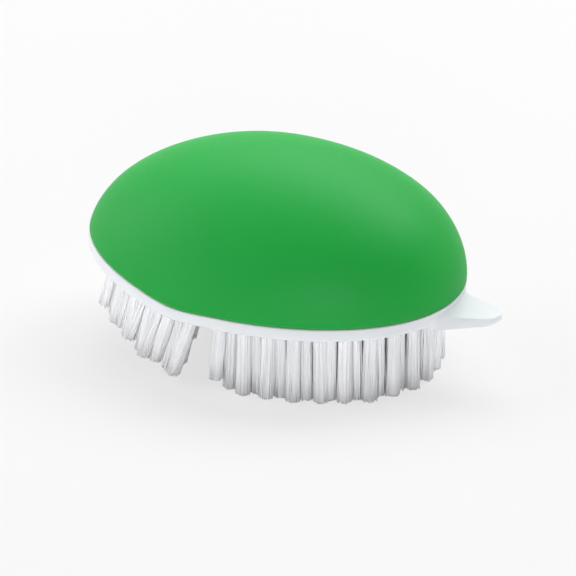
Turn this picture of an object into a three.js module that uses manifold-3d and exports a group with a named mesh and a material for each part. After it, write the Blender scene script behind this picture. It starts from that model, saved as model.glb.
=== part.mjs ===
// Vegetable brush: a palm-held oval brush with a hollow soft dome on a white base.
// The base flexes along a cross line that has no tufts, and behind it the rear part stands raised.
// Millimetres and degrees. +X points to the tongue, +Z up, and the front tufts stand on z = 0.
import * as THREE from 'three';
import { mergeGeometries, mergeVertices } from 'three/addons/utils/BufferGeometryUtils.js';
import Module from 'manifold-3d';

// Outline of the rim with the base laid flat
const OVAL_LENGTH = 108;
const OVAL_WIDTH = 78.6;
const OVAL_FULLNESS = 2.11; // exponent of the oval, 2 for a plain ellipse
const OVAL_TAPER = 0.01; // share by which the front is narrower and the rear wider
const OVAL_STEPS = 56;

// Dome
const DOME_HEIGHT = 35.9;
const DOME_FULLNESS = 1.88; // exponent of the dome's section
const DOME_STEPS = 12;
const CROWN_AHEAD = 4; // crown ahead of the oval's middle
const DOME_WALL = 3;
const SEAT_GAP = 0.3; // between the rim and the dome that sits on it

// Base
const RIM_HEIGHT = 3.5;
const FRONT_BLOCK_HEIGHT = 6; // of the tuft block above the rim, inside the dome
const REAR_BLOCK_HEIGHT = 2;
const BLOCK_CLEARANCE = 0.6; // between the block and the dome's wall

// Tongue
const TONGUE_LENGTH = 13.5; // beyond the oval
const TONGUE_ROOT_WIDTH = 17.6;
const TONGUE_TIP_RADIUS = 5.3;
const TONGUE_TOP_DROP = 1.6; // top face below the rim's top
const TONGUE_ROOT_THICKNESS = 4.2;
const TONGUE_TIP_THICKNESS = 1.4;
const TONGUE_ROOT_OVERLAP = 2; // how far the root runs into the rim
const TONGUE_TIP_STEPS = 12;

// Flex line
const FLEX_LINE_X = -3.2;
const FLEX_REST_ANGLE = 9.1; // by which the rear part stands raised at rest
const FLEX_SPREAD = 4.5; // length of the bend in the dome for each millimetre above the line
const FLEX_SLIT = 0.6;
const WEB_WIDTH = 3.2;
const WEB_THICKNESS = 1.2;
const WEB_END_INSET = 1;
const WEB_CLEARANCE = 0.3;

// Pads, the slices of the base that the tufts are fixed in
const PAD_THICKNESS = 2.5;
const PAD_INSET = 3; // from the rim's outline
const PAD_LINE_DISTANCE = 2.2; // from the flex line to the pad's straight edge
const PAD_CLEARANCE = 0.3;

// Tufts
const FRONT_TUFT_LENGTH = 20.8;
const CORNER_TUFT_LENGTH = 18.2; // of the front group at both ends of its row beside the flex line
const CORNER_REACH = 10; // how far along that row the shorter tufts go
const REAR_TUFT_LENGTH = 17.8; // of the rear group beside the flex line
const END_TUFT_LENGTH = 15.4; // of the rear group at the rear end
const REAR_TUFT_LEAN = 5.9; // by which the rear tufts lean to the rear from the base they stand in
const TUFT_PITCH = 6.8; // along a row
const ROW_PITCH = 4.8; // between the straight rows inside, which are staggered
const BORDER_INSET = 7.2; // from the rim's outline to the first row
const BORDER_PITCH = 2.7; // from there to the second row, staggered against it
const BORDER_LINE_DISTANCE = 4; // from the flex line to the first row
const REAR_END_INSET = 15.5; // from the rear end of the rim to the straight end of the first row
const TUFT_ROOT_RADIUS = 0.9; // to the middle of its strands
const TUFT_TIP_RADIUS = 1.2;
const TUFT_LEAST_SPACING = 4.1;
const STRANDS_PER_TUFT = 3;
const STRAND_RADIUS = 0.85; // to the corners of its section
const STRAND_ROOT_DEPTH = 0.8; // inside the pad

// Levels and places that follow from the sizes
const REST_TURN = THREE.MathUtils.degToRad(FLEX_REST_ANGLE);
const REAR_LEAN = THREE.MathUtils.degToRad(REAR_TUFT_LEAN);
const BASE_Z = FRONT_TUFT_LENGTH;
const RIM_TOP_Z = BASE_Z + RIM_HEIGHT;
const DOME_Z = RIM_TOP_Z + SEAT_GAP;
const FLEX_LINE = new THREE.Vector3(FLEX_LINE_X, 0, BASE_Z + WEB_THICKNESS / 2);
const REACH = 2 * (OVAL_LENGTH + OVAL_WIDTH + DOME_HEIGHT); // larger than the whole brush
const FRONT_REACH = OVAL_LENGTH / 2 - BORDER_INSET; // from the oval's middle to the end of the first row
const REAR_REACH = OVAL_LENGTH / 2 - REAR_END_INSET;
const FIELD_START = BORDER_PITCH + ROW_PITCH; // from the first row to the straight rows inside
const FRONT = 1;
const REAR = -1;

const wasm = await Module();
wasm.setup();

// Closed solid of a geometry whose shared corners are merged and whose empty triangles are dropped
function solidOf(geometry) {
  const bare = geometry.clone();
  bare.deleteAttribute('normal');
  bare.deleteAttribute('uv');
  const merged = mergeVertices(bare);
  const corners = merged.index.array;
  const kept = [];
  for (let i = 0; i < corners.length; i += 3) {
    const [a, b, c] = corners.slice(i, i + 3);
    if (a !== b && b !== c && c !== a) kept.push(a, b, c);
  }
  return new wasm.Manifold(new wasm.Mesh({
    numProp: 3,
    vertProperties: merged.attributes.position.array,
    triVerts: Uint32Array.from(kept),
  }));
}

function geometryOf(solid) {
  const mesh = solid.getMesh();
  const geometry = new THREE.BufferGeometry();
  geometry.setAttribute('position', new THREE.BufferAttribute(mesh.vertProperties, 3));
  geometry.setIndex(new THREE.BufferAttribute(mesh.triVerts, 1));
  geometry.computeVertexNormals();
  return geometry;
}

// Point of the oval at an angle, drawn in by an inset
function ovalPoint(angle, inset) {
  const c = Math.cos(angle);
  const s = Math.sin(angle);
  const r = (Math.abs(c) ** OVAL_FULLNESS + Math.abs(s) ** OVAL_FULLNESS) ** (-1 / OVAL_FULLNESS);
  const x = (OVAL_LENGTH / 2 - inset) * c * r;
  const y = (OVAL_WIDTH / 2 - inset) * s * r * (1 - OVAL_TAPER * c * r);
  return new THREE.Vector2(x, y);
}

function ovalShape(inset) {
  const points = [];
  for (let i = 0; i < OVAL_STEPS; i += 1) points.push(ovalPoint((2 * Math.PI * i) / OVAL_STEPS, inset));
  return new THREE.Shape(points);
}

// Angle, from 0 to half a turn, at which the inset oval crosses a line square to its length
function crossingAngle(x, inset) {
  let low = 0;
  let high = Math.PI;
  for (let i = 0; i < 40; i += 1) {
    const middle = (low + high) / 2;
    if (ovalPoint(middle, inset).x > x) low = middle;
    else high = middle;
  }
  return (low + high) / 2;
}

// Part of the inset oval on one side of the flex line, ending in a straight edge some way from the line
function sectionShape(side, inset, lineDistance) {
  const crossing = crossingAngle(FLEX_LINE_X + side * lineDistance, inset);
  const [from, to] = side === FRONT ? [-crossing, crossing] : [crossing, 2 * Math.PI - crossing];
  const steps = Math.ceil((OVAL_STEPS * (to - from)) / (2 * Math.PI));
  const points = [];
  for (let i = 0; i <= steps; i += 1) points.push(ovalPoint(from + ((to - from) * i) / steps, inset));
  return new THREE.Shape(points);
}

function prism(shape, bottom, height) {
  const geometry = new THREE.ExtrudeGeometry(shape, { depth: height, bevelEnabled: false });
  return geometry.translate(0, 0, bottom);
}

// Solid without the slit at the flex line and what lies beyond it, with the slit leaning about that line
function cutAtSlit(side, solid, lean) {
  const beyond = new THREE.BoxGeometry(REACH, REACH, REACH);
  beyond.translate(side * (FLEX_SLIT / 2 - REACH / 2), 0, 0).rotateY(lean);
  return solid.subtract(solidOf(beyond.translate(...FLEX_LINE.toArray())));
}

// Radius of the dome's section, as a share of its edge, at a share of its height
function domeRadius(rise) {
  return Math.max(0, 1 - rise ** DOME_FULLNESS) ** (1 / DOME_FULLNESS);
}

// Solid dome, drawn in by an inset and carried on below its edge by a skirt, bent to the rest angle
function domeSolid(inset, skirt) {
  const profile = [new THREE.Vector2(0, -skirt), new THREE.Vector2(1, -skirt)];
  const first = skirt > 0 ? 0 : 1;
  for (let i = first; i <= DOME_STEPS; i += 1) {
    const rise = Math.sin(((Math.PI / 2) * i) / DOME_STEPS);
    profile.push(new THREE.Vector2(domeRadius(rise), rise * (DOME_HEIGHT - inset)));
  }
  const geometry = new THREE.LatheGeometry(profile, OVAL_STEPS).rotateX(Math.PI / 2);
  const place = geometry.attributes.position;
  for (let i = 0; i < place.count; i += 1) {
    const [x, y, z] = [place.getX(i), place.getY(i), place.getZ(i)];
    const edge = ovalPoint(Math.atan2(y, x), inset).multiplyScalar(Math.hypot(x, y));
    const ahead = (CROWN_AHEAD * Math.max(0, z)) / DOME_HEIGHT;
    place.setXYZ(i, edge.x + ahead, edge.y, DOME_Z + z);
  }
  return solidOf(flexed(geometry));
}

// Bends a laid-flat geometry at the flex line, over a length that grows with the height above the line
function flexed(geometry) {
  const place = geometry.attributes.position;
  for (let i = 0; i < place.count; i += 1) {
    const ahead = place.getX(i) - FLEX_LINE.x;
    const above = place.getZ(i) - FLEX_LINE.z;
    const half = (FLEX_SPREAD * above) / 2;
    const turn = REST_TURN * THREE.MathUtils.smoothstep(-ahead, -half, half);
    place.setX(i, FLEX_LINE.x + ahead * Math.cos(turn) + above * Math.sin(turn));
    place.setZ(i, FLEX_LINE.z - ahead * Math.sin(turn) + above * Math.cos(turn));
  }
  return geometry;
}

// Strip of the web, grown all round by a clearance and leaning by an angle about the flex line
function webGeometry(clearance, lean) {
  const halfLength = ovalPoint(crossingAngle(FLEX_LINE_X, 0), 0).y - WEB_END_INSET;
  const grow = 2 * clearance;
  const strip = new THREE.BoxGeometry(WEB_WIDTH + grow, 2 * halfLength + grow, WEB_THICKNESS + grow);
  return strip.rotateY(lean).translate(...FLEX_LINE.toArray());
}

// Wedge whose flat top lies below the rim's top, with a round tip, rooted in the rim
function tongueGeometry() {
  const rootX = OVAL_LENGTH / 2 - TONGUE_ROOT_OVERLAP;
  const tipX = OVAL_LENGTH / 2 + TONGUE_LENGTH;
  const centreX = tipX - TONGUE_TIP_RADIUS;
  const halfRoot = TONGUE_ROOT_WIDTH / 2;
  const taper = Math.atan2(halfRoot - TONGUE_TIP_RADIUS, centreX - rootX);
  const shape = new THREE.Shape();
  shape.moveTo(rootX, halfRoot);
  shape.lineTo(rootX, -halfRoot);
  shape.absarc(centreX, 0, TONGUE_TIP_RADIUS, taper - Math.PI / 2, Math.PI / 2 - taper, false);
  const settings = { depth: 1, bevelEnabled: false, curveSegments: TONGUE_TIP_STEPS };
  const geometry = new THREE.ExtrudeGeometry(shape, settings);
  const place = geometry.attributes.position;
  for (let i = 0; i < place.count; i += 1) {
    const along = (place.getX(i) - rootX) / (tipX - rootX);
    const thickness = THREE.MathUtils.lerp(TONGUE_ROOT_THICKNESS, TONGUE_TIP_THICKNESS, along);
    place.setZ(i, RIM_TOP_Z - TONGUE_TOP_DROP - thickness * (1 - place.getZ(i)));
  }
  return geometry;
}

// Inset at which the block's top edge clears the dome's wall, which draws in and leans toward the crown
function blockInset(height) {
  const radius = domeRadius(height / (DOME_HEIGHT - DOME_WALL));
  const drawnIn = (OVAL_LENGTH / 2 - DOME_WALL) * (1 - radius);
  const leaned = (CROWN_AHEAD * height) / DOME_HEIGHT;
  return DOME_WALL + BLOCK_CLEARANCE + drawnIn + leaned;
}

// One part of the base: the rim, the block inside the dome, the recesses for the pad and the web
function baseSolid(side) {
  const rim = solidOf(prism(ovalShape(0), BASE_Z, RIM_HEIGHT));
  const blockHeight = side === FRONT ? FRONT_BLOCK_HEIGHT : REAR_BLOCK_HEIGHT;
  const block = solidOf(prism(ovalShape(blockInset(blockHeight)), BASE_Z, RIM_HEIGHT + blockHeight));
  const recessShape = sectionShape(side, PAD_INSET - PAD_CLEARANCE, PAD_LINE_DISTANCE - PAD_CLEARANCE);
  const recess = solidOf(prism(recessShape, BASE_Z - PAD_CLEARANCE, PAD_THICKNESS + 2 * PAD_CLEARANCE));
  const lean = (side * REST_TURN) / 2; // of the slit, seen from this part laid flat
  const webRecess = solidOf(webGeometry(WEB_CLEARANCE, lean));
  return cutAtSlit(side, rim.add(block), lean).subtract(recess).subtract(webRecess);
}

// Outline of a group's first row, drawn in by an inset, with a straight end across the rear group
function groupShape(side, inset) {
  const whole = sectionShape(side, BORDER_INSET + inset, BORDER_LINE_DISTANCE + inset);
  if (side === FRONT) return whole;
  const endX = inset - REAR_REACH;
  const half = ovalPoint(crossingAngle(endX, BORDER_INSET + inset), BORDER_INSET + inset).y;
  const points = whole.getPoints();
  const isBeyond = (point) => point.x <= endX;
  const end = [new THREE.Vector2(endX, half), new THREE.Vector2(endX, -half)];
  points.splice(points.findIndex(isBeyond), points.filter(isBeyond).length, ...end);
  return new THREE.Shape(points);
}

// Tufts of one group: two staggered rows along its outline, and a field of staggered straight rows inside
function tuftPlaces(side) {
  const outline = groupShape(side, 0);
  outline.closePath();
  const count = Math.round(outline.getLength() / TUFT_PITCH);
  const firstRow = outline.getSpacedPoints(count).slice(0, count);
  const border = [...firstRow];
  const field = [];
  const addIfClear = (group, place) => {
    const isClear = (other) => other.distanceTo(place) >= TUFT_LEAST_SPACING;
    if (border.every(isClear) && field.every(isClear)) group.push(place);
  };
  firstRow.forEach((place, i) => {
    const next = firstRow[(i + 1) % count];
    const inward = new THREE.Vector2(place.y - next.y, next.x - place.x).setLength(BORDER_PITCH);
    addIfClear(border, place.clone().add(next).divideScalar(2).add(inward));
  });
  const fieldInset = BORDER_INSET + FIELD_START;
  const fieldX = FLEX_LINE_X + side * (BORDER_LINE_DISTANCE + FIELD_START);
  const fieldEnd = (side === FRONT ? FRONT_REACH : REAR_REACH) - FIELD_START;
  const lastRow = Math.floor((fieldEnd - side * fieldX) / ROW_PITCH);
  for (let row = 0; row <= lastRow; row += 1) {
    const x = fieldX + side * row * ROW_PITCH;
    const half = ovalPoint(crossingAngle(x, fieldInset), fieldInset).y;
    const reach = Math.ceil(half / TUFT_PITCH);
    for (let i = -reach; i <= reach; i += 1) {
      const place = new THREE.Vector2(x, (i + (row % 2) / 2) * TUFT_PITCH);
      if (Math.abs(place.y) <= half) addIfClear(field, place);
    }
  }
  return { border, field };
}

// Length of a tuft: even in the front group but for its corners, falling off to the end in the rear group
function tuftLength(side, centre) {
  const fromLine = side * (centre.x - FLEX_LINE_X) - BORDER_LINE_DISTANCE;
  if (side === REAR) {
    const whole = REAR_REACH + FLEX_LINE_X - BORDER_LINE_DISTANCE;
    return THREE.MathUtils.lerp(REAR_TUFT_LENGTH, END_TUFT_LENGTH, fromLine / whole);
  }
  const rowAngle = crossingAngle(FLEX_LINE_X + BORDER_LINE_DISTANCE, BORDER_INSET);
  const fromEnd = ovalPoint(rowAngle, BORDER_INSET).y - Math.abs(centre.y);
  const isCorner = fromLine < BORDER_PITCH / 2 && fromEnd < CORNER_REACH;
  return isCorner ? CORNER_TUFT_LENGTH : FRONT_TUFT_LENGTH;
}

// Three-sided strand from its tip up into the pad, spreading from the tuft's centre and leaning to the tip
function strandGeometry(centre, angle, length, lean) {
  const triangle = new THREE.Shape();
  for (let i = 0; i < 3; i += 1) {
    const corner = angle + (2 * Math.PI * i) / 3;
    const [x, y] = [STRAND_RADIUS * Math.cos(corner), STRAND_RADIUS * Math.sin(corner)];
    if (i === 0) triangle.moveTo(x, y);
    else triangle.lineTo(x, y);
  }
  const height = length + STRAND_ROOT_DEPTH;
  const geometry = prism(triangle, 0, height);
  const place = geometry.attributes.position;
  for (let i = 0; i < place.count; i += 1) {
    const spread = THREE.MathUtils.lerp(TUFT_TIP_RADIUS, TUFT_ROOT_RADIUS, place.getZ(i) / height);
    const leaned = (height - place.getZ(i)) * Math.tan(lean);
    place.setX(i, place.getX(i) + centre.x + spread * Math.cos(angle) - leaned);
    place.setY(i, place.getY(i) + centre.y + spread * Math.sin(angle));
  }
  return geometry.translate(0, 0, BASE_Z - length);
}

// Strands of some tufts, each tuft with its first strand turned to the rear
function strandsSolid(side, tufts) {
  const strands = [];
  const lean = side === REAR ? REAR_LEAN : 0;
  for (const centre of tufts) {
    for (let i = 0; i < STRANDS_PER_TUFT; i += 1) {
      const angle = Math.PI + (2 * Math.PI * i) / STRANDS_PER_TUFT;
      strands.push(strandGeometry(centre, angle, tuftLength(side, centre), lean));
    }
  }
  return solidOf(mergeGeometries(strands));
}

// Border tufts on a ring of the pad, and the tufts of the field on the rest of it
function bristleSolids(side) {
  const seam = BORDER_PITCH + ROW_PITCH / 2;
  const ring = sectionShape(side, PAD_INSET, PAD_LINE_DISTANCE);
  ring.holes.push(groupShape(side, seam - PAD_CLEARANCE / 2));
  const slice = groupShape(side, seam + PAD_CLEARANCE / 2);
  const { border, field } = tuftPlaces(side);
  return {
    border: solidOf(prism(ring, BASE_Z, PAD_THICKNESS)).add(strandsSolid(side, border)),
    field: solidOf(prism(slice, BASE_Z, PAD_THICKNESS)).add(strandsSolid(side, field)),
  };
}

const GREEN_SOFT_TOUCH = { color: 0x1ca63b, roughness: 0.55, metalness: 0 };
const WHITE_MOULDING = { color: 0xf4f6f8, roughness: 0.4, metalness: 0 };
const WHITE_FILAMENT = { color: 0xf8f8fa, roughness: 0.45, metalness: 0 };

function piece(name, geometry, finish) {
  const mesh = new THREE.Mesh(geometry, new THREE.MeshStandardMaterial(finish));
  mesh.name = name;
  return mesh;
}

// Front part in place, and the rear part laid flat in a group that turns about the flex line
const front = new THREE.Group();
const rear = new THREE.Group();
rear.position.copy(FLEX_LINE);
rear.rotation.y = REST_TURN;

function addToRear(name, geometry, finish) {
  rear.add(piece(name, geometry.translate(...FLEX_LINE.clone().negate().toArray()), finish));
}

// Dome
const dome = domeSolid(0, 0).subtract(domeSolid(DOME_WALL, SEAT_GAP));
const domeFront = geometryOf(cutAtSlit(FRONT, dome, REST_TURN / 2));
const domeRear = geometryOf(cutAtSlit(REAR, dome, REST_TURN / 2));
front.add(piece('grip_front', domeFront, GREEN_SOFT_TOUCH));
domeRear.translate(...FLEX_LINE.clone().negate().toArray()).rotateY(-REST_TURN);
rear.add(piece('grip_rear', domeRear, GREEN_SOFT_TOUCH));

// Base and the web that joins its two parts
const baseFront = baseSolid(FRONT).add(solidOf(tongueGeometry()));
front.add(piece('base_front', geometryOf(baseFront), WHITE_MOULDING));
addToRear('base_rear', geometryOf(baseSolid(REAR)), WHITE_MOULDING);
front.add(piece('flex_web', webGeometry(0, REST_TURN / 2), WHITE_MOULDING));

// Tufts
const frontTufts = bristleSolids(FRONT);
const rearTufts = bristleSolids(REAR);
front.add(piece('bristles_front_border', geometryOf(frontTufts.border), WHITE_FILAMENT));
front.add(piece('bristles_front_field', geometryOf(frontTufts.field), WHITE_FILAMENT));
addToRear('bristles_rear_border', geometryOf(rearTufts.border), WHITE_FILAMENT);
addToRear('bristles_rear_field', geometryOf(rearTufts.field), WHITE_FILAMENT);

// Whole brush, moved along X so that its origin lies below the middle of its box
const brush = new THREE.Group();
brush.add(front, rear);
const box = new THREE.Box3().setFromObject(brush, true);
brush.position.x = -(box.min.x + box.max.x) / 2;

export default brush;
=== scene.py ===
"""Looks of a palm-held vegetable brush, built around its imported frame.

Sizes are millimetres unless a name says otherwise. Shapes are worked out with the base laid flat, +X toward
the tongue and +Z up. The rear is then bent up to its rest shape, and all is placed in the frame.
"""

import logging
import math
from collections.abc import Sequence
from dataclasses import dataclass
from enum import Enum

import bpy
import numpy as np
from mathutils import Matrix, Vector


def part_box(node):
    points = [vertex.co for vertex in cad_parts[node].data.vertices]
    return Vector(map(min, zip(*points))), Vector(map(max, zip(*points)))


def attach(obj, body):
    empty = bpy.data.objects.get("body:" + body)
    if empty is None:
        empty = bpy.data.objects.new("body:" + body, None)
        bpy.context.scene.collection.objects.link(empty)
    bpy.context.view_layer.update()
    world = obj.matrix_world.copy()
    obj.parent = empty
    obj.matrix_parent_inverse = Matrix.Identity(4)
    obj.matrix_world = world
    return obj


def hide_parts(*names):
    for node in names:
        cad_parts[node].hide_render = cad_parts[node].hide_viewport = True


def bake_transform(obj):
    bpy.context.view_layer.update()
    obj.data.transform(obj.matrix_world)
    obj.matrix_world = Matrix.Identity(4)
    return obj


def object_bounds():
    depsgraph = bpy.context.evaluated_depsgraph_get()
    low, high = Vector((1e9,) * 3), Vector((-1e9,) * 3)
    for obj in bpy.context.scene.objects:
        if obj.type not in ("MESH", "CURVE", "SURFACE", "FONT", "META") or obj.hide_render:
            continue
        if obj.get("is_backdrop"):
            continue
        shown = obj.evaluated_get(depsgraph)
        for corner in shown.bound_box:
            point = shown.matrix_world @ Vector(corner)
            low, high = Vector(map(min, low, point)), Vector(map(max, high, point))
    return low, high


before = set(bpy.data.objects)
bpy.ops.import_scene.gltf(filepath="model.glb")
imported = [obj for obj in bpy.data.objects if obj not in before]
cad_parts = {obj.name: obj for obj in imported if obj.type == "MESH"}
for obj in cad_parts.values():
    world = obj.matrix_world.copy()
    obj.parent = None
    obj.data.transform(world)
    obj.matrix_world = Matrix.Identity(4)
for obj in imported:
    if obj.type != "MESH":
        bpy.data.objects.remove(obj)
CAD_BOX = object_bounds()

MM = 0.001  # metres in a millimetre
LOG = logging.getLogger("vegetable_brush")
NOISE_RANGE = (0.3, 0.7)  # between which nearly all values of a noise lie
COLOUR_A, COLOUR_B, COLOUR_OUT = 6, 7, 2  # numbers of the colour sockets of a mix node


class Side(Enum):
    """The two parts of the brush, with the sign of the way they lie from the flex line."""

    FRONT = 1
    REAR = -1


class Cut(Enum):
    """What a boolean does to a moulding."""

    JOIN = "UNION"
    REMOVE = "DIFFERENCE"


def round_angles(count: int) -> np.ndarray:
    """Angles of points spread evenly round a full turn, in radians."""
    return 2 * math.pi * np.arange(count) / count


@dataclass(frozen=True)
class BrushForm:
    """Outline, dome section and rest bend that the pieces of the brush share."""

    oval_length: float = 108.0
    oval_width: float = 78.6
    oval_fullness: float = 2.11  # exponent of the oval, 2 for a plain ellipse
    oval_taper: float = 0.01  # share by which the front is narrower and the rear wider
    base_z: float = 20.8  # underside of the base, the length of the front tufts above the floor
    rim_height: float = 3.5
    dome_height: float = 36.3  # above the rim's top
    dome_fullness: float = 1.88  # exponent of the dome's section
    crown_ahead: float = 4.0  # crown ahead of the oval's middle
    solid_tongue_length: float = 13.5  # beyond the oval, in the solid model
    flex_x: float = -3.2  # line between the two groups of tufts, where the brush flexes
    flex_above_base: float = 0.6  # flex line above the underside, in the middle of the web
    bend_x: float = -11.2  # middle of the bend that raises the rear at rest
    bend_angle: float = 10.8  # degrees
    bend_length: float = 12.3  # at the flex line's height
    bend_spread: float = 4.6  # by which the bend is longer for each millimetre above that
    blend_reach: float = 14.0  # to each side of the flex line, where the mouldings bend as it moves
    crossing_points: int = 4001  # of the half oval, searched for the place where it crosses a line

    @property
    def rim_top(self) -> float:
        """Height of the seam between the base and the dome."""
        return self.base_z + self.rim_height

    @property
    def flex_z(self) -> float:
        """Height of the flex line."""
        return self.base_z + self.flex_above_base

    @property
    def shift(self) -> float:
        """Way along X from the oval's middle to the frame's origin, read from the end of the tongue."""
        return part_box("base_front")[1].x / MM - self.oval_length / 2 - self.solid_tongue_length

    def oval(self, angles: np.ndarray, inset: float = 0.0) -> np.ndarray:
        """Points of the oval.

        Args:
            angles: angles round the oval, in radians.
            inset: how far the oval is drawn in.

        Returns:
            One row of x and y for each angle.
        """
        c, s = np.cos(angles), np.sin(angles)
        n = self.oval_fullness
        r = (np.abs(c) ** n + np.abs(s) ** n) ** (-1 / n)
        x = (self.oval_length / 2 - inset) * c * r
        y = (self.oval_width / 2 - inset) * s * r * (1 - self.oval_taper * c * r)
        return np.stack([x, y], axis=-1)

    def crossing_angle(self, x: float, inset: float = 0.0) -> float:
        """Angle at which the inset oval crosses a line square to its length.

        Args:
            x: place of the line.
            inset: how far the oval is drawn in.

        Returns:
            The angle, from 0 to half a turn.
        """
        angles = np.linspace(0.0, math.pi, self.crossing_points)
        places = self.oval(angles, inset)[:, 0]
        return float(np.interp(-x, -places, angles))

    def half_width(self, x: float, inset: float = 0.0) -> float:
        """Half the width of the inset oval at a place along it."""
        return float(self.oval(np.array([self.crossing_angle(x, inset)]), inset)[0, 1])

    def ring(self, count: int, inset: float, share: float, z: float, ahead: float = 0.0) -> np.ndarray:
        """One ring of a moulding, laid flat.

        Args:
            count: number of points.
            inset: how far the oval is drawn in.
            share: size of the ring as a share of that oval.
            z: height.
            ahead: how far the ring is moved along X.

        Returns:
            Rows of x, y and z.
        """
        flat = self.oval(round_angles(count), inset) * share
        return np.column_stack([flat[:, 0] + ahead, flat[:, 1], np.full(count, z)])

    def dome_radius(self, rise: float) -> float:
        """Radius of the dome's section as a share of its edge, at a share of its height."""
        return max(0.0, 1 - rise**self.dome_fullness) ** (1 / self.dome_fullness)

    def bent(self, points: np.ndarray) -> np.ndarray:
        """Points of a laid-flat moulding, bent so that its rear rises to the rest shape.

        Args:
            points: rows of x, y and z, with the base laid flat.

        Returns:
            The bent points.
        """
        ahead, above = points[..., 0] - self.bend_x, points[..., 2] - self.flex_z
        length = self.bend_length + self.bend_spread * np.maximum(above, 0.0)
        share = np.clip(0.5 - ahead / length, 0, 1)
        turn = math.radians(self.bend_angle) * share**2 * (3 - 2 * share)
        x = self.bend_x + ahead * np.cos(turn) + above * np.sin(turn)
        z = self.flex_z - ahead * np.sin(turn) + above * np.cos(turn)
        return np.stack([x, points[..., 1], z], axis=-1)

    def placed(self, points: np.ndarray) -> np.ndarray:
        """Points in the frame, in metres."""
        return (points + np.array([self.shift, 0.0, 0.0])) * MM

    def flex_with_body(self, piece: bpy.types.Object) -> None:
        """Bakes a moulding's placement into its mesh; it is not made to bend between the two bodies.

        Args:
            piece: the moulding.
        """
        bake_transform(piece)


def linear(hex_colour: str) -> tuple[float, float, float, float]:
    """Turns an sRGB colour to linear, by the curve of the sRGB standard.

    Args:
        hex_colour: six hex digits after a number sign.

    Returns:
        Red, green, blue and an alpha of 1.
    """
    shares = [int(hex_colour[i : i + 2], 16) / 255 for i in (1, 3, 5)]
    red, green, blue = (s / 12.92 if s <= 0.04045 else ((s + 0.055) / 1.055) ** 2.4 for s in shares)
    return red, green, blue, 1.0


def add_node(
    tree: bpy.types.NodeTree,
    kind: str,
    settings: dict[str, object] | None = None,
    inputs: dict[str | int, object] | None = None,
) -> bpy.types.Node:
    """Adds a node with its settings, values and links.

    Args:
        tree: node tree that gets the node.
        kind: the node's type.
        settings: values of the node's own properties, by name.
        inputs: a value, or a socket to link from, for each input by name or number.

    Returns:
        The node.
    """
    node = tree.nodes.new(kind)
    for name, value in (settings or {}).items():
        setattr(node, name, value)
    for name, value in (inputs or {}).items():
        if isinstance(value, bpy.types.NodeSocket):
            tree.links.new(value, node.inputs[name])
        else:
            node.inputs[name].default_value = value
    return node


def empty_material(name: str) -> tuple[bpy.types.Material, bpy.types.NodeTree]:
    """Makes a material with an empty node tree.

    Args:
        name: the material's name.

    Returns:
        The material and its tree.
    """
    material = bpy.data.materials.new(name)
    material.use_nodes = True
    material.node_tree.nodes.clear()
    return material, material.node_tree


@dataclass(frozen=True)
class MouldedPolymer:
    """A moulded polymer: colour that drifts a little with the melt's flow, and a fine grain from the mould."""

    name: str
    colour: str
    drift_colour: str
    drift_size: float
    roughness: tuple[float, float]  # in the dips and on the peaks of the grain
    ior: float
    grain_size: float
    grain_depth: float
    specular: float  # level of the shine, 0.5 for what the IOR alone gives
    shine_colour: str = "#FFFFFF"
    depth_glow: float = 0.0  # share of light that scatters below the surface
    depth_reach: float = 1.0  # how far that light goes

    def material(self) -> bpy.types.Material:
        """Builds the material.

        Returns:
            The node material.
        """
        material, tree = empty_material(self.name)
        place = add_node(tree, "ShaderNodeTexCoord").outputs["Object"]
        drift = add_node(tree, "ShaderNodeTexNoise", inputs={
            "Vector": place, "Scale": 1 / (self.drift_size * MM), "Detail": 3.0, "Roughness": 0.5})
        colour = add_node(tree, "ShaderNodeMix", {"data_type": "RGBA"}, {
            "Factor": drift.outputs["Fac"], COLOUR_A: linear(self.colour), COLOUR_B: linear(self.drift_colour)})
        grain = add_node(tree, "ShaderNodeTexNoise", inputs={
            "Vector": place, "Scale": 1 / (self.grain_size * MM), "Detail": 2.0, "Roughness": 0.6})
        gloss = add_node(tree, "ShaderNodeMapRange", inputs={
            "Value": grain.outputs["Fac"], "From Min": NOISE_RANGE[0], "From Max": NOISE_RANGE[1],
            "To Min": self.roughness[0], "To Max": self.roughness[1]})
        bump = add_node(tree, "ShaderNodeBump", inputs={
            "Height": grain.outputs["Fac"], "Strength": 1.0, "Distance": self.grain_depth * MM})
        shader = add_node(tree, "ShaderNodeBsdfPrincipled", {"subsurface_method": "RANDOM_WALK"}, {
            "Base Color": colour.outputs[COLOUR_OUT], "Roughness": gloss.outputs["Result"], "IOR": self.ior,
            "Specular IOR Level": self.specular, "Specular Tint": linear(self.shine_colour),
            "Subsurface Weight": self.depth_glow, "Subsurface Radius": (1.0, 1.0, 1.0),
            "Subsurface Scale": self.depth_reach * MM, "Normal": bump.outputs["Normal"]})
        add_node(tree, "ShaderNodeOutputMaterial", inputs={"Surface": shader.outputs["BSDF"]})
        return material


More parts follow.
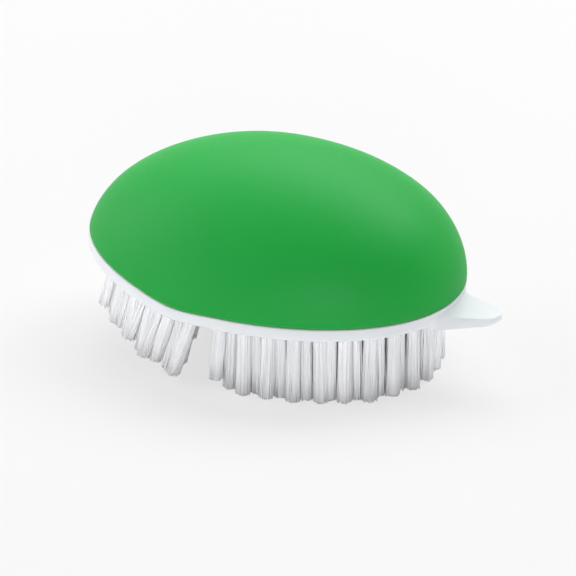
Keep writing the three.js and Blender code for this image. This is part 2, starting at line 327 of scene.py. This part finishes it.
@dataclass(frozen=True)
class NylonFilament:
    """Drawn nylon monofilament: each one a slightly different white, with faint streaks along its length."""

    name: str = "nylon_filament_drawn"
    light: str = "#FEFEFF"
    dark: str = "#F2F3F6"
    streak_width: float = 0.6
    streak_length: float = 9.0
    streak_share: float = 0.5  # of the streaks in the tone, beside 1 for the filament's own
    tone_range: tuple[float, float] = (0.2, 1.3)  # from the dark white to the light one
    roughness: tuple[float, float] = (0.34, 0.48)  # on the dark and on the light streaks
    ior: float = 1.53

    def material(self) -> bpy.types.Material:
        """Builds the material.

        Returns:
            The node material.
        """
        material, tree = empty_material(self.name)
        place = add_node(tree, "ShaderNodeTexCoord").outputs["Object"]
        across, along = 1 / (self.streak_width * MM), 1 / (self.streak_length * MM)
        stretched = add_node(tree, "ShaderNodeMapping", inputs={
            "Vector": place, "Scale": (across, across, along)})
        streaks = add_node(tree, "ShaderNodeTexNoise", inputs={
            "Vector": stretched.outputs["Vector"], "Scale": 1.0, "Detail": 2.0})
        island = add_node(tree, "ShaderNodeNewGeometry").outputs["Random Per Island"]
        tone = add_node(tree, "ShaderNodeMath", {"operation": "MULTIPLY_ADD"}, {
            0: streaks.outputs["Fac"], 1: self.streak_share, 2: island})
        share = add_node(tree, "ShaderNodeMapRange", inputs={
            "Value": tone.outputs["Value"], "From Min": self.tone_range[0], "From Max": self.tone_range[1]})
        colour = add_node(tree, "ShaderNodeMix", {"data_type": "RGBA"}, {
            "Factor": share.outputs["Result"], COLOUR_A: linear(self.dark), COLOUR_B: linear(self.light)})
        gloss = add_node(tree, "ShaderNodeMapRange", inputs={
            "Value": streaks.outputs["Fac"], "From Min": NOISE_RANGE[0], "From Max": NOISE_RANGE[1],
            "To Min": self.roughness[0], "To Max": self.roughness[1]})
        shader = add_node(tree, "ShaderNodeBsdfPrincipled", inputs={
            "Base Color": colour.outputs[COLOUR_OUT], "Roughness": gloss.outputs["Result"], "IOR": self.ior})
        add_node(tree, "ShaderNodeOutputMaterial", inputs={"Surface": shader.outputs["BSDF"]})
        return material


# Elastomer from a fine eroded mould: the eye sees a broad soft highlight, no mirror image and paler edges
GREEN_ELASTOMER = MouldedPolymer(
    name="green_elastomer_moulded",
    colour="#1A9937",
    drift_colour="#1D9D3C",
    drift_size=30.0,
    roughness=(0.48, 0.58),
    ior=1.5,
    grain_size=0.7,  # drawn coarser than the real grain, so that it shows
    grain_depth=0.01,
    specular=0.235,  # about half of the usual level, matched to the photograph's dull highlight
    shine_colour="#DAEDFF",  # cool, matched to the photograph's highlight
)

# Polypropylene from a smooth mould: the eye sees a milky white with soft edges and a satin shine
WHITE_POLYPROPYLENE = MouldedPolymer(
    name="white_polypropylene_moulded",
    colour="#E0E3E7",
    drift_colour="#E4E6EA",
    drift_size=18.0,
    roughness=(0.4, 0.5),
    ior=1.49,
    grain_size=0.9,  # drawn coarser than the real grain, so that it shows
    grain_depth=0.006,
    specular=0.3,  # below the usual level, matched to the photograph's soft shine
    depth_glow=0.15,
    depth_reach=1.5,
)


def mesh_object(name: str, points: np.ndarray, faces: Sequence[Sequence[int]]) -> bpy.types.Object:
    """Makes a mesh object with smooth faces.

    Args:
        name: the object's name.
        points: rows of x, y and z, in metres.
        faces: indices of each face's corners.

    Returns:
        The object, linked to the scene.
    """
    mesh = bpy.data.meshes.new(name)
    mesh.from_pydata(points.tolist(), [], faces)
    mesh.shade_smooth()
    piece = bpy.data.objects.new(name, mesh)
    bpy.context.scene.collection.objects.link(piece)
    return piece


def loft(rings: np.ndarray, *ends: np.ndarray) -> tuple[np.ndarray, list[list[int]]]:
    """Closes a skin over rings of points.

    Args:
        rings: rings of equally many points, counter-clockwise seen from the first end.
        ends: the points that close the first and the last ring. Without them, each of the two is closed by strips
            between the points that follow its first one and those that come before it.

    Returns:
        All points, and the faces with their outer side out.
    """
    count, size = rings.shape[:2]
    index = np.arange(count * size).reshape(count, size)
    after = np.roll(index, -1, axis=1)
    faces = np.stack([index[:-1], index[1:], after[1:], after[:-1]], axis=-1).reshape(-1, 4).tolist()
    points = rings.reshape(-1, 3)
    if ends:
        start, end = count * size, count * size + 1
        faces += [[start, a, b] for a, b in zip(index[0].tolist(), after[0].tolist())]
        faces += [[end, b, a] for a, b in zip(index[-1].tolist(), after[-1].tolist())]
        return np.concatenate([points, ends]), faces
    for i in range(size // 2 - 1):
        strip = np.array([i, i + 1, size - 2 - i, size - 1 - i])
        faces += [index[0, strip].tolist(), index[-1, strip[::-1]].tolist()]
    return points, faces


def tubes(lines: np.ndarray, radii: np.ndarray, turns: np.ndarray) -> tuple[np.ndarray, list[list[int]]]:
    """Closes a tube round each of many lines that go down.

    Args:
        lines: for each tube, the points of its middle line.
        radii: for each tube, its radius at each of these points.
        turns: for each tube, the angle of each corner of its level section, in radians.

    Returns:
        All points, and the faces with their outer side out.
    """
    section = np.stack([np.cos(turns), np.sin(turns), np.zeros_like(turns)], axis=-1)
    points = lines[:, :, None] + radii[..., None, None] * section[:, None]
    count, rings, sides = points.shape[:3]
    index = np.arange(count * rings * sides).reshape(count, rings, sides)
    after = np.roll(index, -1, axis=2)
    walls = np.stack([index[:, :-1], index[:, 1:], after[:, 1:], after[:, :-1]], axis=-1)
    faces = walls.reshape(-1, 4).tolist() + index[:, 0].tolist() + index[:, -1, ::-1].tolist()
    return points.reshape(-1, 3), faces


def boolean(piece: bpy.types.Object, tool: bpy.types.Object, cut: Cut) -> None:
    """Joins another closed mesh to a moulding or cuts it away, and deletes that mesh.

    Args:
        piece: the moulding, whose mesh is replaced.
        tool: the other mesh.
        cut: what is done with it.
    """
    modifier = piece.modifiers.new("cut", "BOOLEAN")
    modifier.object, modifier.operation, modifier.solver = tool, cut.value, "MANIFOLD"
    bpy.context.view_layer.update()
    made = bpy.data.meshes.new_from_object(piece.evaluated_get(bpy.context.evaluated_depsgraph_get()))
    piece.modifiers.clear()
    old, piece.data = piece.data, made
    made.name = piece.name
    spent = tool.data
    bpy.data.objects.remove(tool)
    for mesh in (old, spent):
        bpy.data.meshes.remove(mesh)


def quarter_round(radius: float, steps: int) -> list[tuple[float, float]]:
    """Points of a rounded edge, from its wall to its face.

    Args:
        radius: of the rounding.
        steps: number of points after the first.

    Returns:
        Pairs of how far the point is drawn in from the wall, and how far it is from the face.
    """
    turns = [math.pi / 2 * i / steps for i in range(steps + 1)]
    return [(radius * (1 - math.cos(t)), radius * (1 - math.sin(t))) for t in turns]


@dataclass
class Dome:
    """Soft green shell that fills the palm, in one moulding, with a rounded lip on the rim."""

    form: BrushForm
    wall: float = 3.0
    lip_radius: float = 0.6
    seam: float = 0.12  # between the lip and the rim
    ring_points: int = 256
    outer_rows: int = 64
    inner_rows: int = 20
    lip_steps: int = 5

    def ring(self, inset: float, share: float, z: float) -> np.ndarray:
        """One ring of the shell, laid flat and leaning toward the crown.

        Args:
            inset: how far the oval is drawn in.
            share: size of the ring as a share of that oval.
            z: height above the lip.

        Returns:
            Rows of x, y and z.
        """
        form = self.form
        ahead = form.crown_ahead * z / form.dome_height
        return form.ring(self.ring_points, inset, share, form.rim_top + self.seam + z, ahead)

    def rises(self, rows: int) -> list[float]:
        """Shares of the dome's height, from just below the crown to just above the lip."""
        return [math.sin(math.pi / 2 * (1 - i / rows)) for i in range(1, rows)]

    def build(self) -> bpy.types.Object:
        """Builds the shell over its outside, round the lip and up its inside.

        Returns:
            The dressed dome.
        """
        form, height = self.form, self.form.dome_height - self.seam
        inner_height = height - self.wall
        rings = []
        for rise in self.rises(self.outer_rows):
            if rise * height > self.lip_radius:
                rings.append(self.ring(0.0, form.dome_radius(rise), rise * height))
        for inset, z in quarter_round(self.lip_radius, self.lip_steps):
            rings.append(self.ring(inset, form.dome_radius(z / height), z))
        rings.append(self.ring(self.wall, 1.0, 0.0))
        for rise in reversed(self.rises(self.inner_rows)):
            rings.append(self.ring(self.wall, form.dome_radius(rise), rise * inner_height))
        crowns = [self.ring(0.0, 0.0, z)[0] for z in (height, inner_height)]
        points, faces = loft(np.array(rings), *crowns)
        piece = mesh_object("dome", form.placed(form.bent(points)), faces)
        piece.data.materials.append(GREEN_ELASTOMER.material())
        form.flex_with_body(piece)
        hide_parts("grip_front", "grip_rear")
        return piece


@dataclass
class Base:
    """White moulding under the dome: the rim, the plate that holds the tufts, the flex groove and the tongue."""

    form: BrushForm
    top_rounding: float = 0.5
    bottom_rounding: float = 0.9
    rounding_steps: int = 5
    ring_points: int = 256
    plate_rows: int = 14
    groove_radius: float = 1.3
    groove_end: float = 5.0  # of the groove from the rim's outside
    groove_points: int = 24
    tongue_length: float = 12.7  # beyond the oval, a little less than in the solid model
    tongue_top_drop: float = 1.6  # top face below the rim's top
    tongue_root_width: float = 19.2
    tongue_tip_radius: float = 5.3
    tongue_root_thickness: float = 4.8
    tongue_tip_thickness: float = 1.9
    tongue_root_overlap: float = 5.5  # how far the root runs into the plate
    tongue_root_end: float = 1.7  # thickness to which the root runs out inside the plate
    tongue_flare: float = 2.6  # by which each side of the root widens into the rim
    tongue_flare_start: float = 3.0  # inside the oval's end
    tongue_flare_length: float = 2.0  # over which most of the flare dies away
    tongue_rounding: float = 0.35
    tongue_face_inset: float = 1.0  # of the flat faces from the outline
    tongue_side_steps: int = 18
    tongue_tip_steps: int = 25  # odd, so that the outline has pairs of points all the way
    sharp_angle: float = 38.0  # degrees between faces that keep a crisp edge

    def plate(self) -> bpy.types.Object:
        """Builds the rim and the plate as one closed body.

        Returns:
            The undressed body, bent to its rest shape.
        """
        form, count = self.form, self.ring_points
        shares = [(i + 1) / (self.plate_rows + 1) for i in range(self.plate_rows)]
        rings = [form.ring(count, self.top_rounding, share, form.rim_top) for share in shares]
        for inset, drop in reversed(quarter_round(self.top_rounding, self.rounding_steps)):
            rings.append(form.ring(count, inset, 1.0, form.rim_top - drop))
        for inset, rise in quarter_round(self.bottom_rounding, self.rounding_steps):
            rings.append(form.ring(count, inset, 1.0, form.base_z + rise))
        rings += [form.ring(count, self.bottom_rounding, share, form.base_z) for share in reversed(shares)]
        ends = [np.array([0.0, 0.0, z]) for z in (form.rim_top, form.base_z)]
        points, faces = loft(np.array(rings), *ends)
        return mesh_object("base", form.placed(form.bent(points)), faces)

    def groove(self) -> bpy.types.Object:
        """Builds the tool that cuts the groove along the flex line, a round bar with round ends.

        Returns:
            The tool.
        """
        form, radius = self.form, self.groove_radius
        reach = form.half_width(form.flex_x) - self.groove_end
        turns = round_angles(self.groove_points)
        steps = self.groove_points // 4
        round_end = [math.pi / 2 * i / steps for i in range(1, steps + 1)]
        sections = [(reach - radius + radius * math.cos(t), radius * math.sin(t)) for t in round_end]
        sections += [(-y, size) for y, size in reversed(sections)]
        rings = []
        for y, size in sections:
            x, z = form.flex_x + size * np.cos(turns), form.base_z + size * np.sin(turns)
            rings.append(np.column_stack([x, np.full(self.groove_points, y), z]))
        ends = [np.array([form.flex_x, y, form.base_z]) for y in (reach, -reach)]
        points, faces = loft(np.array(rings)[:, ::-1], *ends)
        return mesh_object("groove", form.placed(points), faces)

    def tongue_outline(self) -> np.ndarray:
        """Outline of the tongue seen from above: two sides that flare into the rim, and a round tip.

        Returns:
            Rows of x and y, counter-clockwise from the root's near corner.
        """
        form = self.form
        root = form.oval_length / 2 - self.tongue_root_overlap
        centre = form.oval_length / 2 + self.tongue_length - self.tongue_tip_radius
        half = self.tongue_root_width / 2
        taper = math.atan2(half - self.tongue_tip_radius, centre - root)
        turns = np.linspace(taper - math.pi / 2, math.pi / 2 - taper, self.tongue_tip_steps + 1)
        tip = np.column_stack([np.cos(turns), np.sin(turns)]) * self.tongue_tip_radius + [centre, 0.0]
        x = np.linspace(root, tip[0, 0], self.tongue_side_steps, endpoint=False)
        y = half + (abs(tip[0, 1]) - half) * (x - root) / (tip[0, 0] - root)
        past_start = np.maximum(x - form.oval_length / 2 + self.tongue_flare_start, 0.0)
        y = y + self.tongue_flare * np.exp(-past_start / self.tongue_flare_length)
        near, far = np.column_stack([x, -y]), np.column_stack([x, y])[::-1]
        return np.concatenate([near, tip, far])

    def tongue(self) -> bpy.types.Object:
        """Builds the tongue, a wedge with a flat top and rounded edges.

        Returns:
            The undressed tongue.
        """
        form, outline = self.form, self.tongue_outline()
        ahead = np.roll(outline, -1, axis=0) - np.roll(outline, 1, axis=0)
        inward = np.column_stack([-ahead[:, 1], ahead[:, 0]]) / np.linalg.norm(ahead, axis=1)[:, None]
        root, tip = outline[0, 0], form.oval_length / 2 + self.tongue_length
        along = (outline[:, 0] - root) / (tip - root)
        wedge = self.tongue_root_thickness + (self.tongue_tip_thickness - self.tongue_root_thickness) * along
        inside = np.clip((form.oval_length / 2 - outline[:, 0]) / self.tongue_root_overlap, 0, 1)
        thickness = wedge + (self.tongue_root_end - wedge) * inside
        top = np.full(len(outline), form.rim_top - self.tongue_top_drop)
        edge = quarter_round(self.tongue_rounding, self.rounding_steps)
        edge.append((self.tongue_face_inset, 0.0))
        rows = [np.column_stack([outline + inset * inward, top - drop]) for inset, drop in reversed(edge)]
        rows += [np.column_stack([outline + inset * inward, top - thickness + rise]) for inset, rise in edge]
        points, faces = loft(np.array(rows))
        return mesh_object("tongue", form.placed(points), faces)

    def build(self) -> bpy.types.Object:
        """Joins the plate and the tongue, cuts the groove and dresses the moulding.

        Returns:
            The dressed base.
        """
        piece = self.plate()
        boolean(piece, self.tongue(), Cut.JOIN)
        boolean(piece, self.groove(), Cut.REMOVE)
        piece.data.shade_smooth()
        piece.data.set_sharp_from_angle(angle=math.radians(self.sharp_angle))
        piece.data.materials.clear()  # of the empty slot that the booleans leave
        piece.data.materials.append(WHITE_POLYPROPYLENE.material())
        self.form.flex_with_body(piece)
        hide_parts("base_front", "base_rear", "flex_web")
        return piece


@dataclass
class Tufts:
    """Tufts of one part of the brush, each a bundle of filaments that spreads toward its tip."""

    form: BrushForm
    side: Side
    seed: int  # of the tufts' small irregularities
    pitch: float = 6.8  # along a row
    row_pitch: float = 4.8  # between the straight rows inside, which are staggered
    border_inset: float = 7.2  # from the rim's outline to the first row
    border_pitch: float = 1.6  # from there to the second row
    border_stagger: float = 0.43  # share of the pitch by which the second row is set on along the outline
    border_line_distance: float = 4.0  # from the flex line to the first row
    rear_end_inset: float = 15.5  # from the rear end of the rim to the straight last row
    rear_bow: float = 8.5  # by which the middle of the rear group's rows beside the flex line is set back
    bow_steps: int = 8  # straight stretches that make up the bowed row
    least_spacing: float = 2.9  # between the middles of two tufts
    outline_steps: int = 56  # round the whole oval
    corner_length: float = 18.2  # of the front group at both ends of its row beside the flex line
    corner_reach: float = 10.0  # from each end of that row
    front_lean: float = 6.0  # degrees by which the front tufts beside the flex line lean to it
    front_lean_reach: float = 9.0  # over which that lean dies away
    rear_length: float = 19.4  # of the rear group beside the flex line
    end_length: float = 15.4  # of the rear group at the rear end
    rear_lean: float = 15.0  # degrees by which the rear tufts lean to the rear end
    rear_splay: float = 5.0  # degrees by which those at the sides lean outward
    root_radius: float = 1.65  # of the outermost filaments' middle lines
    tip_radius: float = 1.85
    root_depth: float = 2.0  # inside the plate
    filaments: int = 60  # in each tuft
    filament_radius: float = 0.22  # drawn thicker than the real ones, so that single filaments show
    filament_sides: int = 3
    crowding: float = 0.25  # exponent of the filaments' spread, 0.5 for an even one and less for more outside
    core_share: float = 0.95  # radius of the close-packed middle as a share of the tuft's
    core_sides: int = 20
    core_end: float = 0.7  # of the close-packed middle above the tips
    rings: int = 4  # of corners along each filament
    length_spread: float = 0.4  # between the longest and the shortest filaments of a tuft
    tip_stray: float = 0.2  # typical distance by which the tips stray from their tuft's form
    tuft_lean: float = 1.0  # typical degrees by which whole tufts stray
    rear_tuft_lean: float = 2.5  # the same in the rear group, which looks more worn

    @property
    def rear_reach(self) -> float:
        """Way from the oval's middle to the last row of the rear group."""
        return self.form.oval_length / 2 - self.rear_end_inset

    @property
    def row_x(self) -> float:
        """Place along the brush of both ends of the first row beside the flex line."""
        return self.form.flex_x + self.side.value * self.border_line_distance

    @property
    def row_end(self) -> float:
        """Half the length of that row."""
        return self.form.half_width(self.row_x, self.border_inset)

    def past_row(self, x: float) -> float:
        """How far a place along the brush lies behind the ends of that row."""
        return self.side.value * (x - self.form.flex_x) - self.border_line_distance

    def set_back(self, across: np.ndarray | float) -> np.ndarray | float:
        """How far the rear group's row is set back, at places across it as shares of its half length."""
        return self.rear_bow * (1 - across**2)

    def is_behind_rows(self, x: float, y: float) -> bool:
        """Tells whether a place lies behind both rows beside the flex line."""
        bow = self.set_back(y / self.row_end) if self.side is Side.REAR else 0.0
        return bool(self.past_row(x) >= self.border_pitch + bow)

    def border(self) -> np.ndarray:
        """Line of the first row, along this part of the inset oval and beside the flex line.

        Returns:
            Rows of x and y.
        """
        form = self.form
        crossing = form.crossing_angle(self.row_x, self.border_inset)
        start, end = (-crossing, crossing) if self.side is Side.FRONT else (crossing, 2 * math.pi - crossing)
        steps = math.ceil(self.outline_steps * (end - start) / (2 * math.pi))
        outline = form.oval(np.linspace(start, end, steps + 1), self.border_inset)
        if self.side is Side.FRONT:
            return outline
        outline[:, 0] = np.maximum(outline[:, 0], -self.rear_reach)
        across = np.linspace(-1, 1, self.bow_steps + 1)[1:-1]
        edge = np.column_stack([outline[0, 0] - self.set_back(across), across * outline[0, 1]])
        return np.concatenate([outline, edge])

    def field(self) -> list[np.ndarray]:
        """Staggered places in straight rows, inside the border rows.

        Returns:
            The x and y of each place.
        """
        form, sign = self.form, self.side.value
        start = self.border_pitch + self.row_pitch
        inset = self.border_inset + start
        end = form.oval_length / 2 - inset
        if self.side is Side.REAR:
            end = min(end, self.rear_reach - start)
        whole = end - sign * form.flex_x - self.border_line_distance - start
        places = []
        for row in range(math.floor(whole / self.row_pitch) + 1):
            x = form.flex_x + sign * (self.border_line_distance + start + row * self.row_pitch)
            half = form.half_width(x, inset)
            reach = math.ceil(half / self.pitch)
            across = (np.arange(-reach, reach + 1) + row % 2 / 2) * self.pitch
            places += [np.array([x, y]) for y in across if abs(y) <= half and self.is_behind_rows(x, y)]
        return places

    def places(self) -> list[np.ndarray]:
        """Places of the tufts: two staggered rows along the outline, and a field of straight rows inside.

        Returns:
            The x and y of each tuft.
        """
        outline = self.border()
        closed = np.concatenate([outline, outline[:1]])
        gone = np.concatenate([[0.0], np.cumsum(np.linalg.norm(np.diff(closed, axis=0), axis=1))])
        count = round(gone[-1] / self.pitch)
        stops = gone[-1] * np.arange(count) / count
        first_row = np.column_stack([np.interp(stops, gone, closed[:, k]) for k in (0, 1)])
        ahead = np.roll(first_row, -1, axis=0) - first_row
        inward = np.column_stack([-ahead[:, 1], ahead[:, 0]]) / np.linalg.norm(ahead, axis=1)[:, None]
        second_row = first_row + ahead * self.border_stagger + inward * self.border_pitch
        found = list(first_row)
        for place in [*second_row, *self.field()]:
            if all(np.linalg.norm(other - place) >= self.least_spacing for other in found):
                found.append(place)
        return found

    def length(self, place: np.ndarray) -> float:
        """Length of a tuft outside the plate. Those of the front group reach the floor, apart from the corners.

        Args:
            place: the tuft's x and y.

        Returns:
            The length.
        """
        past_row = self.past_row(place[0])
        if self.side is Side.REAR:
            whole = self.rear_reach + self.form.flex_x - self.border_line_distance
            return self.rear_length + (self.end_length - self.rear_length) * past_row / whole
        is_corner = past_row < self.border_pitch / 2 and self.row_end - abs(place[1]) < self.corner_reach
        return self.corner_length if is_corner else self.form.base_z

    def stood(self, place: np.ndarray, offsets: np.ndarray) -> np.ndarray:
        """Stands a tuft on the bent base.

        Args:
            place: the tuft's x and y, with the base laid flat.
            offsets: rows of x, y and z from the middle of its root, for an upright tuft.

        Returns:
            The points, bent to the rest shape.
        """
        root = self.form.bent(np.array([place[0], place[1], self.form.base_z]))
        if self.side is Side.FRONT:
            left = max(0.0, 1 - self.past_row(place[0]) / self.front_lean_reach)
            slope = math.tan(math.radians(self.front_lean)) * left
            return root + offsets + offsets[..., 2:] * [slope, 0.0, 0.0]
        turn = math.radians(self.rear_lean)
        x = offsets[..., 0] * math.cos(turn) + offsets[..., 2] * math.sin(turn)
        z = offsets[..., 2] * math.cos(turn) - offsets[..., 0] * math.sin(turn)
        outward = math.tan(math.radians(self.rear_splay)) * place[1] / (self.form.oval_width / 2)
        return root + np.stack([x, offsets[..., 1] - outward * offsets[..., 2], z], axis=-1)

    def bundles(self) -> tuple[np.ndarray, np.ndarray, np.ndarray]:
        """Middle lines of all filaments and of the tufts' close-packed middles.

        Returns:
            The filaments' lines from the root in the plate to the tip, the middles' lines, and the radius of each
            middle at each of its points.
        """
        rng = np.random.default_rng(self.seed)
        golden = math.pi * (3 - math.sqrt(5))
        order = np.arange(self.filaments)
        radial = ((order + 0.5) / self.filaments) ** self.crowding
        lean = self.tuft_lean if self.side is Side.FRONT else self.rear_tuft_lean
        filaments, middles, widths = [], [], []
        for place in self.places():
            length = self.length(place)
            slopes = math.tan(math.radians(lean)) * rng.normal(size=2)
            turns = order * golden + rng.uniform(0, 2 * math.pi)
            across = radial[:, None] * np.column_stack([np.cos(turns), np.sin(turns)])
            stray = rng.normal(scale=self.tip_stray, size=(self.filaments, 2))
            down = np.tile(np.linspace(-self.root_depth, length, self.rings), (self.filaments, 1))
            down[:, -1] -= rng.uniform(0, self.length_spread, size=self.filaments)
            share = np.clip(down / length, 0, 1)[..., None]
            radius = self.root_radius + (self.tip_radius - self.root_radius) * share
            flat = across[:, None] * radius + stray[:, None] * share**2 + slopes * np.maximum(down, 0)[..., None]
            filaments.append(self.stood(place, np.concatenate([flat, -down[..., None]], axis=-1)))
            level = np.linspace(-self.root_depth, length - self.core_end, self.rings)
            middle = np.column_stack([slopes * np.maximum(level, 0)[:, None], -level])
            middles.append(self.stood(place, middle))
            widths.append(self.core_share * np.interp(level, [0, length], [self.root_radius, self.tip_radius]))
        return np.concatenate(filaments), np.array(middles), np.array(widths)

    def build(self) -> bpy.types.Object:
        """Builds all tufts of this part as one mesh.

        Returns:
            The dressed tufts.
        """
        lines, middles, widths = self.bundles()
        rng = np.random.default_rng(self.seed + 1)
        turns = rng.uniform(0, 2 * math.pi, size=(len(lines), 1)) + round_angles(self.filament_sides)
        points, faces = tubes(lines, np.full(lines.shape[:2], self.filament_radius), turns)
        turns = np.tile(round_angles(self.core_sides), (len(middles), 1))
        middle_points, middle_faces = tubes(middles, widths, turns)
        faces += [[len(points) + corner for corner in face] for face in middle_faces]
        body = self.side.name.lower()
        piece = mesh_object(f"tufts_{body}", self.form.placed(np.concatenate([points, middle_points])), faces)
        piece.data.materials.append(NylonFilament().material())
        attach(piece, body)
        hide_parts(f"bristles_{body}_border", f"bristles_{body}_field")
        return piece


def direction(azimuth: float, elevation: float) -> Vector:
    """Direction from the brush to something that stands round it.

    Args:
        azimuth: degrees, 0 in front of the brush's side and 90 beyond its tongue.
        elevation: degrees above the floor.

    Returns:
        The unit direction.
    """
    a, e = math.radians(azimuth), math.radians(elevation)
    return Vector((math.sin(a) * math.cos(e), -math.cos(a) * math.cos(e), math.sin(e)))


@dataclass(frozen=True)
class Softbox:
    """A round soft lamp that stands off the brush and is aimed at it."""

    name: str
    azimuth: float  # degrees, 0 in front of the brush's side and 90 beyond its tongue
    elevation: float  # degrees
    distance_m: float
    size_m: float
    watts: float

    def add(self, aim: Vector) -> None:
        """Adds the lamp.

        Args:
            aim: point that it faces, in metres.
        """
        data = bpy.data.lights.new(self.name, "AREA")
        data.shape, data.size, data.energy = "DISK", self.size_m, self.watts
        lamp = bpy.data.objects.new(self.name, data)
        toward = direction(self.azimuth, self.elevation)
        lamp.location = aim + toward * self.distance_m
        lamp.rotation_mode = "QUATERNION"
        lamp.rotation_quaternion = toward.to_track_quat("Z", "Y")
        bpy.context.scene.collection.objects.link(lamp)


@dataclass
class Studio:
    """Pale floor, soft lamps, a white surround and the camera at the photograph's angle."""

    form: BrushForm
    camera_azimuth: float = 27.33  # degrees
    camera_elevation: float = 24.25  # degrees
    camera_distance: float = 652.0
    image_size: float = 576.0  # pixels each way
    middle_pixel: tuple[float, float] = (274.2, 261.4)  # where the middle of the oval's seam is seen
    focal_pixels: float = 2390.0
    sensor_width: float = 36.0
    floor_size_m: float = 6.0
    floor_colour: str = "#FBFBFB"  # as it lights the brush from below
    shade_colour: str = "#DFDFDF"  # of the floor where it shows light and shade to the camera
    background_colour: str = "#FAFAFA"
    shadow_share: float = 0.29  # of the floor's look that shows light and shade
    surround_strength: float = 0.05  # as it lights the brush
    lamps: tuple[Softbox, ...] = (
        Softbox("back_softbox", azimuth=180.0, elevation=60.0, distance_m=1.6, size_m=1.5, watts=13.0),
        Softbox("back_left_softbox", azimuth=-140.0, elevation=58.0, distance_m=1.6, size_m=1.2, watts=9.4),
        Softbox("back_right_softbox", azimuth=140.0, elevation=50.0, distance_m=1.6, size_m=1.0, watts=12.8),
        Softbox("left_softbox", azimuth=-75.0, elevation=28.0, distance_m=1.6, size_m=1.3, watts=12.8),
        Softbox("front_left_softbox", azimuth=-40.0, elevation=8.0, distance_m=1.2, size_m=0.32, watts=1.4),
        Softbox("front_softbox", azimuth=27.0, elevation=8.0, distance_m=1.2, size_m=0.32, watts=4.9),
    )

    @property
    def middle(self) -> Vector:
        """Middle of the oval's seam, in metres."""
        return Vector(self.form.placed(np.array([0.0, 0.0, self.form.rim_top])))

    def add_camera(self) -> None:
        """Adds the camera, turned so that the oval's middle falls on its pixel without a lens shift."""
        back = direction(self.camera_azimuth, self.camera_elevation)
        right = Vector((-back.y, back.x, 0.0)).normalized()
        up = back.cross(right)
        across = (self.image_size / 2 - self.middle_pixel[0]) / self.focal_pixels
        below = (self.image_size / 2 - self.middle_pixel[1]) / self.focal_pixels
        ahead = (-back + right * across - up * below).normalized()
        data = bpy.data.cameras.new("camera")
        data.sensor_width = self.sensor_width
        data.lens = self.focal_pixels * self.sensor_width / self.image_size
        camera = bpy.data.objects.new("camera", data)
        camera.location = self.middle + back * self.camera_distance * MM
        camera.rotation_mode = "QUATERNION"
        camera.rotation_quaternion = ahead.to_track_quat("-Z", "Y")
        bpy.context.scene.collection.objects.link(camera)
        bpy.context.scene.camera = camera

    def shown(self, tree: bpy.types.NodeTree) -> bpy.types.NodeSocket:
        """Factor that is 1 where the camera sees a surface itself, in a gloss or through glass.

        Args:
            tree: node tree that gets the nodes.

        Returns:
            The socket with the factor.
        """
        path = add_node(tree, "ShaderNodeLightPath").outputs
        either = add_node(tree, "ShaderNodeMath", {"operation": "MAXIMUM"}, {
            0: path["Is Camera Ray"], 1: path["Is Glossy Ray"]})
        return add_node(tree, "ShaderNodeMath", {"operation": "MAXIMUM"}, {
            0: either.outputs["Value"], 1: path["Is Transmission Ray"]}).outputs["Value"]

    def add_floor(self) -> None:
        """Adds the floor, the background's white with the brush's soft shadow on it, clear from below."""
        half = self.floor_size_m / 2
        corners = np.array([[-half, -half, 0], [half, -half, 0], [half, half, 0], [-half, half, 0]])
        floor = mesh_object("floor", corners, [[0, 1, 2, 3]])
        material, tree = empty_material("pale_paper_floor")
        paper = add_node(tree, "ShaderNodeBsdfDiffuse", inputs={"Color": linear(self.floor_colour)})
        white = add_node(tree, "ShaderNodeEmission", inputs={"Color": linear(self.background_colour)})
        shade = add_node(tree, "ShaderNodeBsdfDiffuse", inputs={"Color": linear(self.shade_colour)})
        seen = add_node(tree, "ShaderNodeMixShader", inputs={
            0: self.shadow_share, 1: white.outputs["Emission"], 2: shade.outputs["BSDF"]})
        look = add_node(tree, "ShaderNodeMixShader", inputs={
            0: self.shown(tree), 1: paper.outputs["BSDF"], 2: seen.outputs["Shader"]})
        clear = add_node(tree, "ShaderNodeBsdfTransparent")
        from_below = add_node(tree, "ShaderNodeNewGeometry").outputs["Backfacing"]
        sided = add_node(tree, "ShaderNodeMixShader", inputs={
            0: from_below, 1: look.outputs["Shader"], 2: clear.outputs["BSDF"]})
        add_node(tree, "ShaderNodeOutputMaterial", inputs={"Surface": sided.outputs["Shader"]})
        floor.data.materials.append(material)
        floor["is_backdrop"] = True

    def add_surround(self) -> None:
        """Adds the even light from all round, which shows as the background's white."""
        world = bpy.data.worlds.new("surround")
        world.use_nodes = True
        tree = world.node_tree
        tree.nodes.clear()
        light = add_node(tree, "ShaderNodeBackground", inputs={"Strength": self.surround_strength})
        white = add_node(tree, "ShaderNodeBackground", inputs={"Color": linear(self.background_colour)})
        look = add_node(tree, "ShaderNodeMixShader", inputs={
            0: self.shown(tree), 1: light.outputs["Background"], 2: white.outputs["Background"]})
        add_node(tree, "ShaderNodeOutputWorld", inputs={"Surface": look.outputs["Shader"]})
        bpy.context.scene.world = world

    def build(self) -> None:
        """Sets up the camera, floor, surround and lamps."""
        bpy.context.scene.view_settings.view_transform = "Standard"
        self.add_camera()
        self.add_floor()
        self.add_surround()
        for lamp in self.lamps:
            lamp.add(self.middle)


def write_sizes() -> None:
    """Works out the corners of the solid model's box and of the dressed model's box, and drops them."""
    boxes = {"cad": CAD_BOX, "visual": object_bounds()}
    {name: [list(corner) for corner in box] for name, box in boxes.items()}


def main() -> None:
    """Builds the studio and the brush, and reports each piece."""
    logging.basicConfig(level=logging.INFO, format="%(name)s: %(message)s")
    form = BrushForm()
    Studio(form).build()
    for maker in (Dome(form), Base(form), Tufts(form, Side.FRONT, seed=11), Tufts(form, Side.REAR, seed=7)):
        piece = maker.build()
        LOG.info("%s has %d faces", piece.name, len(piece.data.polygons))
    write_sizes()


if __name__ == "__main__":
    main()
